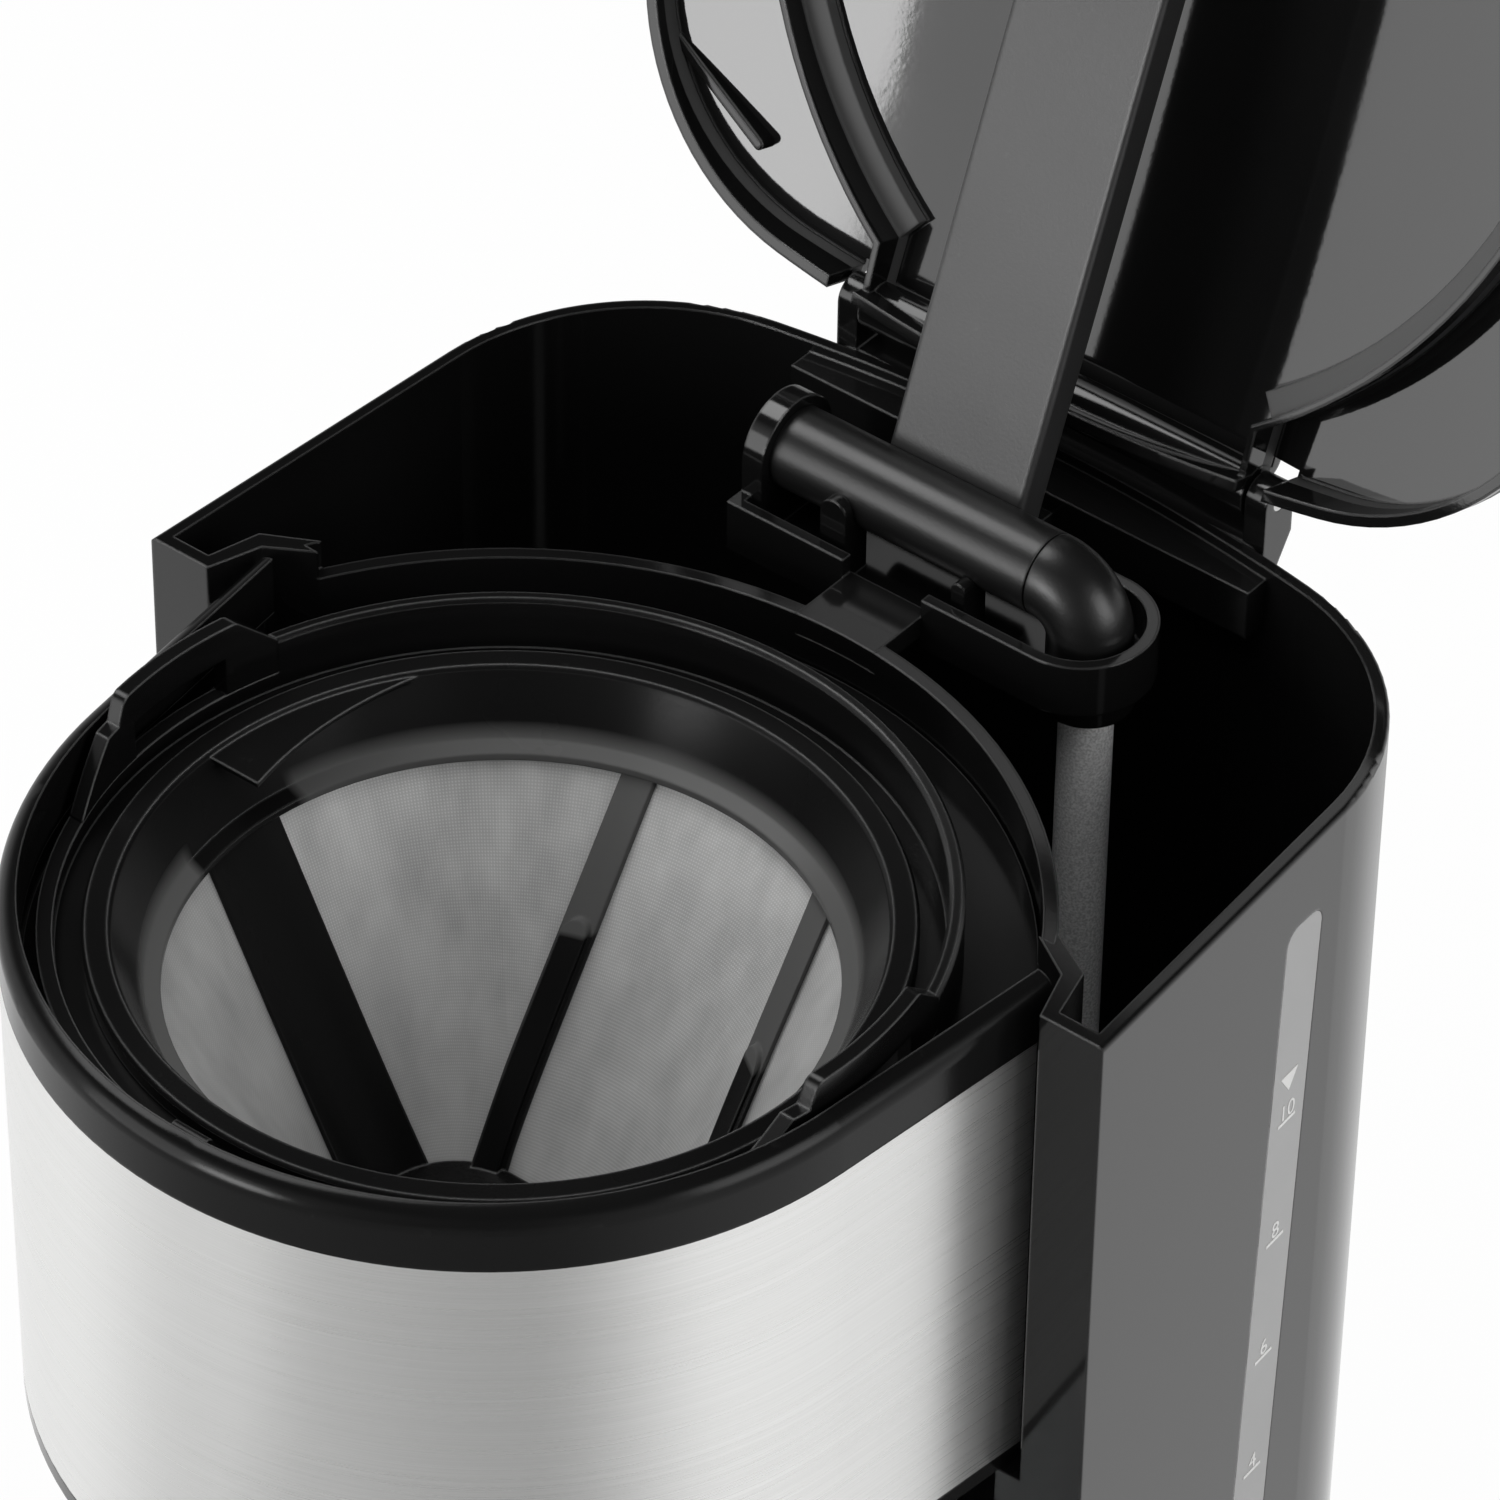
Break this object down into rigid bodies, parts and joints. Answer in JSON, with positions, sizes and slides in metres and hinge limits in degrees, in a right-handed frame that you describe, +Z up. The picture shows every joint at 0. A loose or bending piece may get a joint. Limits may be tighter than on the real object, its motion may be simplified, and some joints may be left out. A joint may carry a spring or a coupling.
{
  "type": "drip coffee maker",
  "caption": "Drip coffee maker with a rear water tank, hinged domed lid, swing-up spout, permanent filter in a lift-out basket, steel-wrapped front, hot plate and glass carafe.",
  "frame": {"origin": "under the middle of the open machine's box, on the counter", "axes": "+Z up, front with the carafe handle towards -Y, level window towards +X"},
  "size_m": [0.1882, 0.3216, 0.4839],
  "materials": {
    "black_plastic": "glossy moulded plastic",
    "basket_plastic": "satin moulded plastic",
    "rocker_plastic": "glossy moulded plastic",
    "spout_plastic": "satin moulded plastic",
    "terminal_plastic": "moulded plastic",
    "rubber": "matt rubber",
    "pale_hose": "frosted silicone",
    "clear_window": "clear plastic",
    "carafe_glass": "clear borosilicate glass",
    "lamp_lens": "clear red plastic",
    "filter_weave": "fine woven filter mesh",
    "brushed_wrap": "brushed along the band",
    "band_steel": "brushed",
    "plate_coating": "non-stick coating",
    "heater_aluminium": "cast",
    "screw_steel": "plated"
  },
  "bodies": {
    "body": {"base_shell": "black_plastic", "pedestal": "black_plastic", "bottom_cover": "basket_plastic", "cover_screws": "screw_steel", "rubber_feet": "rubber", "hot_plate": "plate_coating", "hot_plate_seal": "rubber", "heating_element": "heater_aluminium", "heater_bracket": "screw_steel", "thermostat": "heater_aluminium", "thermal_fuse": "terminal_plastic", "terminal_block": "terminal_plastic", "cord_gland": "rubber", "switch_bezel": "black_plastic", "indicator_lens": "lamp_lens", "rear_tank": "black_plastic", "water_window": "clear_window", "hinge_pins": "screw_steel", "brew_housing": "black_plastic", "basket_shelf": "black_plastic", "rim_band": "black_plastic", "steel_wrap": "brushed_wrap", "tube_saddle": "black_plastic", "outlet_elbow": "spout_plastic", "tube_o_ring": "rubber", "riser_hose": "pale_hose", "inlet_hose": "pale_hose", "hose_grommet": "rubber", "check_valve": "terminal_plastic", "check_ball": "screw_steel"},
    "lid": {"lid_shell": "black_plastic"},
    "spout": {"outlet_tube": "spout_plastic", "tube_end_cap": "spout_plastic", "spout_arm": "spout_plastic", "shower_head": "spout_plastic"},
    "basket": {"brew_basket": "basket_plastic", "basket_grips": "basket_plastic", "valve_spring": "screw_steel"},
    "valve": {"drip_valve": "basket_plastic", "valve_seal": "rubber"},
    "filter": {"filter_frame": "basket_plastic", "filter_mesh": "filter_weave"},
    "carafe": {"carafe_glass": "carafe_glass", "carafe_band": "band_steel", "carafe_handle": "black_plastic", "handle_screw": "screw_steel"},
    "carafe_cap": {"carafe_lid": "black_plastic"},
    "rocker": {"rocker_switch": "rocker_plastic"}
  },
  "joints": [
    {"name": "lid_hinge", "type": "hinge", "parent": "body", "child": "lid", "pos_m": [0, 0.08805, 0.2795], "axis": [-1, 0, 0], "range_deg": [-108, 0]},
    {"name": "arm_pivot", "type": "hinge", "parent": "body", "child": "spout", "pos_m": [0, 0.05555, 0.2755], "axis": [-1, 0, 0], "range_deg": [-112, 0]},
    {"name": "basket_lift", "type": "slide", "parent": "body", "child": "basket", "axis": [0, 0, 1], "range_m": [0, 0.15]},
    {"name": "filter_lift", "type": "slide", "parent": "basket", "child": "filter", "axis": [0, 0, 1], "range_m": [0, 0.1]},
    {"name": "drip_valve_press", "type": "slide", "parent": "basket", "child": "valve", "axis": [0, 0, 1], "range_m": [0, 0.004], "stiffness_N_per_m": 250, "springref_m": -0.002, "deforming": ["valve_spring"]},
    {"name": "carafe_slide", "type": "slide", "parent": "body", "child": "carafe", "axis": [0, -1, 0], "range_m": [0, 0.2]},
    {"name": "carafe_lid_twist", "type": "hinge", "parent": "carafe", "child": "carafe_cap", "pos_m": [0, -0.04775, 0.163], "axis": [0, 0, 1], "range_deg": [0, 40]},
    {"name": "rocker_tilt", "type": "hinge", "parent": "body", "child": "rocker", "pos_m": [0, -0.12165, 0.0225], "axis": [1, 0, 0], "range_deg": [0, 14]}
  ],
  "couplings": [
    {"joint": "arm_pivot", "follows": "lid_hinge", "ratio": 1.037}
  ]
}
